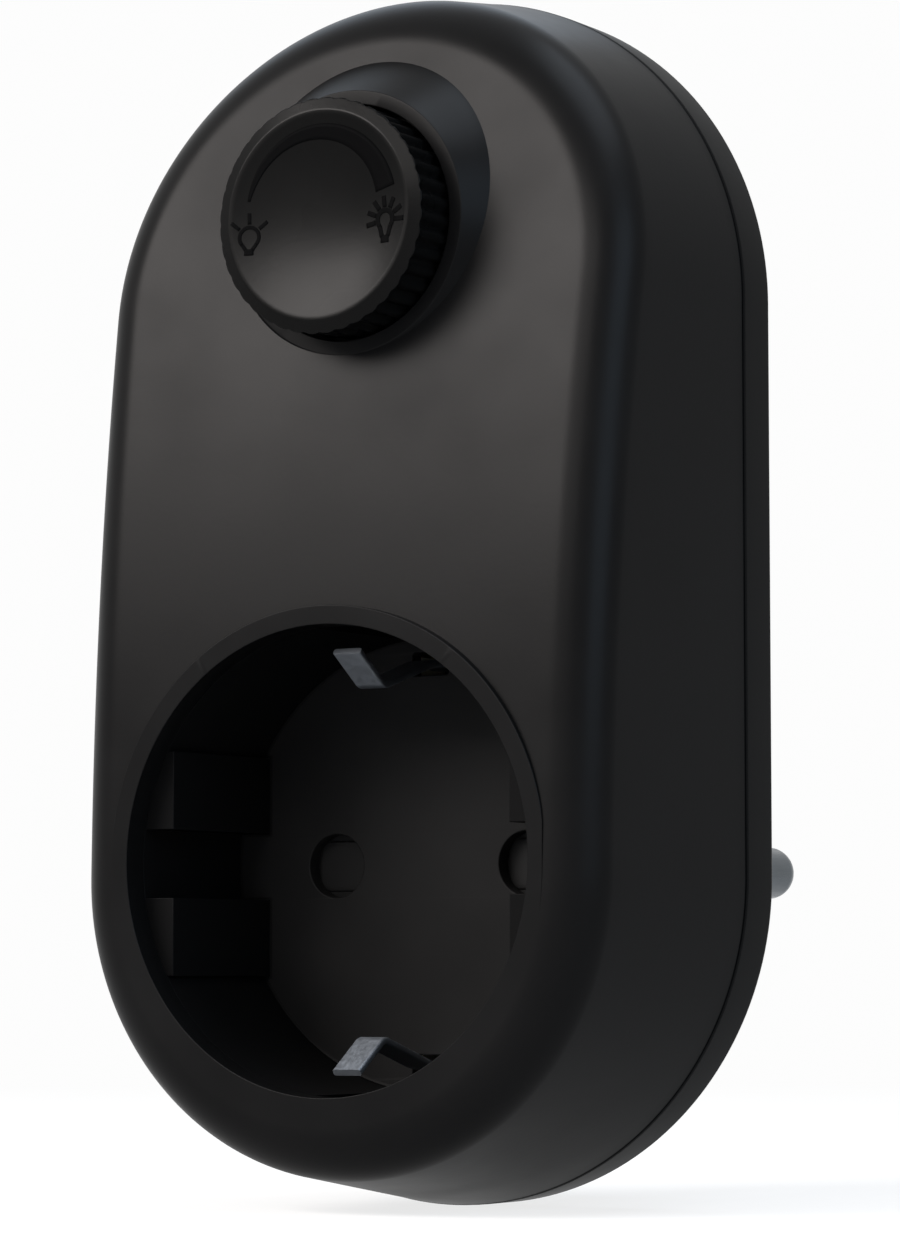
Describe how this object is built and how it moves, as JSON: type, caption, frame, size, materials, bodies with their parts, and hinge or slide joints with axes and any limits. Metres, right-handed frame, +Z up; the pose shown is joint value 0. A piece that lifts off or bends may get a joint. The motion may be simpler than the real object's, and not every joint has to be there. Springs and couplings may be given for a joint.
{
  "type": "plug-in dimmer",
  "caption": "Plug-in rotary dimmer: round-ended black housing with an earthed socket recess below, a fluted dimmer knob above and a two-pin earthed plug at the rear.",
  "frame": {"origin": "centre of the plug face, midway between the two pin roots", "axes": "+Y out of the plug face along the pins, towards the wall outlet; +Z up, towards the knob; +X to the right seen from the front"},
  "size_m": [0.056, 0.0662, 0.1047],
  "materials": {
    "black_plastic": "satin moulded black plastic",
    "cover_plastic": "satin moulded black plastic",
    "cup_plastic": "satin moulded black plastic",
    "knob_plastic": "fine satin black plastic with dark printed signs",
    "shutter_plastic": "dark grey plastic",
    "carrier_plastic": "pale insulating plastic",
    "screw_steel": "zinc-plated steel",
    "spring_steel": "bright steel",
    "earth_steel": "nickel-plated spring metal",
    "pin_nickel": "nickel-plated brass",
    "contact_brass": "bare brass",
    "tinned_metal": "tinned metal",
    "board_laminate": "green solder mask",
    "pot_case": "plated pressed case",
    "fuse_glass": "clear glass",
    "ferrite": "dark ferrite",
    "enamelled_wire": "enamelled copper",
    "film_case": "moulded box",
    "can_sleeve": "dark sleeve",
    "chip_resin": "moulded resin",
    "sink_aluminium": "plain sheet",
    "resistor_lacquer": "lacquer",
    "brown_insulation": "wire insulation",
    "black_insulation": "wire insulation"
  },
  "bodies": {
    "housing": {"front_shell": "black_plastic", "rear_cover": "cover_plastic", "plug_body": "cover_plastic", "cover_screws": "screw_steel", "socket_cup": "cup_plastic", "recess_floor": "cup_plastic", "shutter_spring": "spring_steel", "contact_carrier": "carrier_plastic", "live_contact": "contact_brass", "neutral_contact": "contact_brass", "earth_strip_upper": "earth_steel", "earth_strip_lower": "earth_steel", "earth_link": "contact_brass", "live_pin": "pin_nickel", "neutral_pin": "pin_nickel", "circuit_board": "board_laminate", "board_screws": "screw_steel", "pot_body": "pot_case", "pot_terminals": "tinned_metal", "pot_washer": "screw_steel", "pot_nut": "contact_brass", "fuse_tube": "fuse_glass", "fuse_caps": "tinned_metal", "fuse_clips": "contact_brass", "choke_core": "ferrite", "choke_winding": "enamelled_wire", "film_capacitor": "film_case", "electrolytic_capacitor": "can_sleeve", "triac": "chip_resin", "heat_sink": "sink_aluminium", "resistors": "resistor_lacquer", "live_lead": "brown_insulation", "load_lead": "black_insulation"},
    "knob": {"dimmer_knob": "knob_plastic", "pot_shaft": "spring_steel"},
    "shutter": {"shutter": "shutter_plastic"}
  },
  "joints": [
    {"name": "knob_turn", "type": "hinge", "parent": "housing", "child": "knob", "pos_m": [0, -0.0426, 0.0536], "axis": [0, -1, 0], "range_deg": [-135, 135]},
    {"name": "shutter_turn", "type": "hinge", "parent": "housing", "child": "shutter", "pos_m": [0, -0.0264, 0], "axis": [0, -1, 0], "range_deg": [0, 38], "stiffness_Nm_per_rad": 0.002, "springref_deg": -11.46, "deforming": ["shutter_spring"]}
  ]
}
